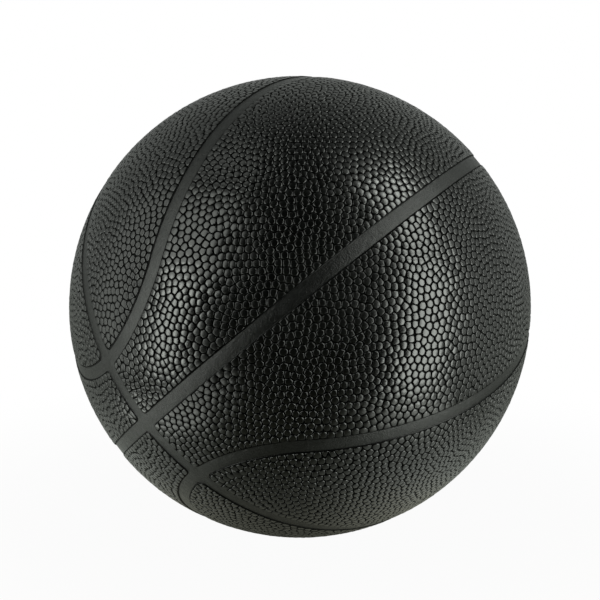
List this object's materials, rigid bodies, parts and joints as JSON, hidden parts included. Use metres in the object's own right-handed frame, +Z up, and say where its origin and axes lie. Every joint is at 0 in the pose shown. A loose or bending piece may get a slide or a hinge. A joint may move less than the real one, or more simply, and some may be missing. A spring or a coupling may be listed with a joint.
{
  "type": "basketball",
  "caption": "Full-size basketball: pebbled cover panels laid on a ribbed carcass over a thread winding and an air bladder with a needle valve.",
  "frame": {"origin": "centre of the ball", "axes": "+Y out through the middle of the needle hole, +Z up as the ball lies in the picture, +X to the right of it"},
  "size_m": [0.241, 0.2409, 0.241],
  "materials": {
    "butyl": "plain butyl rubber, matt",
    "valve_rubber": "moulded rubber, matt",
    "plug_rubber": "moulded rubber, slightly glossy",
    "thread": "wound nylon thread set in latex",
    "channel_rubber": "smooth matt rubber with a faint grain",
    "cover": "near-black pebbled composite leather, satin"
  },
  "bodies": {
    "root": {"bladder": "butyl", "valve_housing": "valve_rubber", "valve_plug": "plug_rubber", "winding": "thread", "carcass": "channel_rubber", "lens_panel_right_upper": "cover", "lens_panel_right_lower": "cover", "lens_panel_left_upper": "cover", "lens_panel_left_lower": "cover", "ring_panel_right_upper": "cover", "ring_panel_right_lower": "cover", "ring_panel_left_upper": "cover", "ring_panel_left_lower": "cover"}
  },
  "joints": []
}
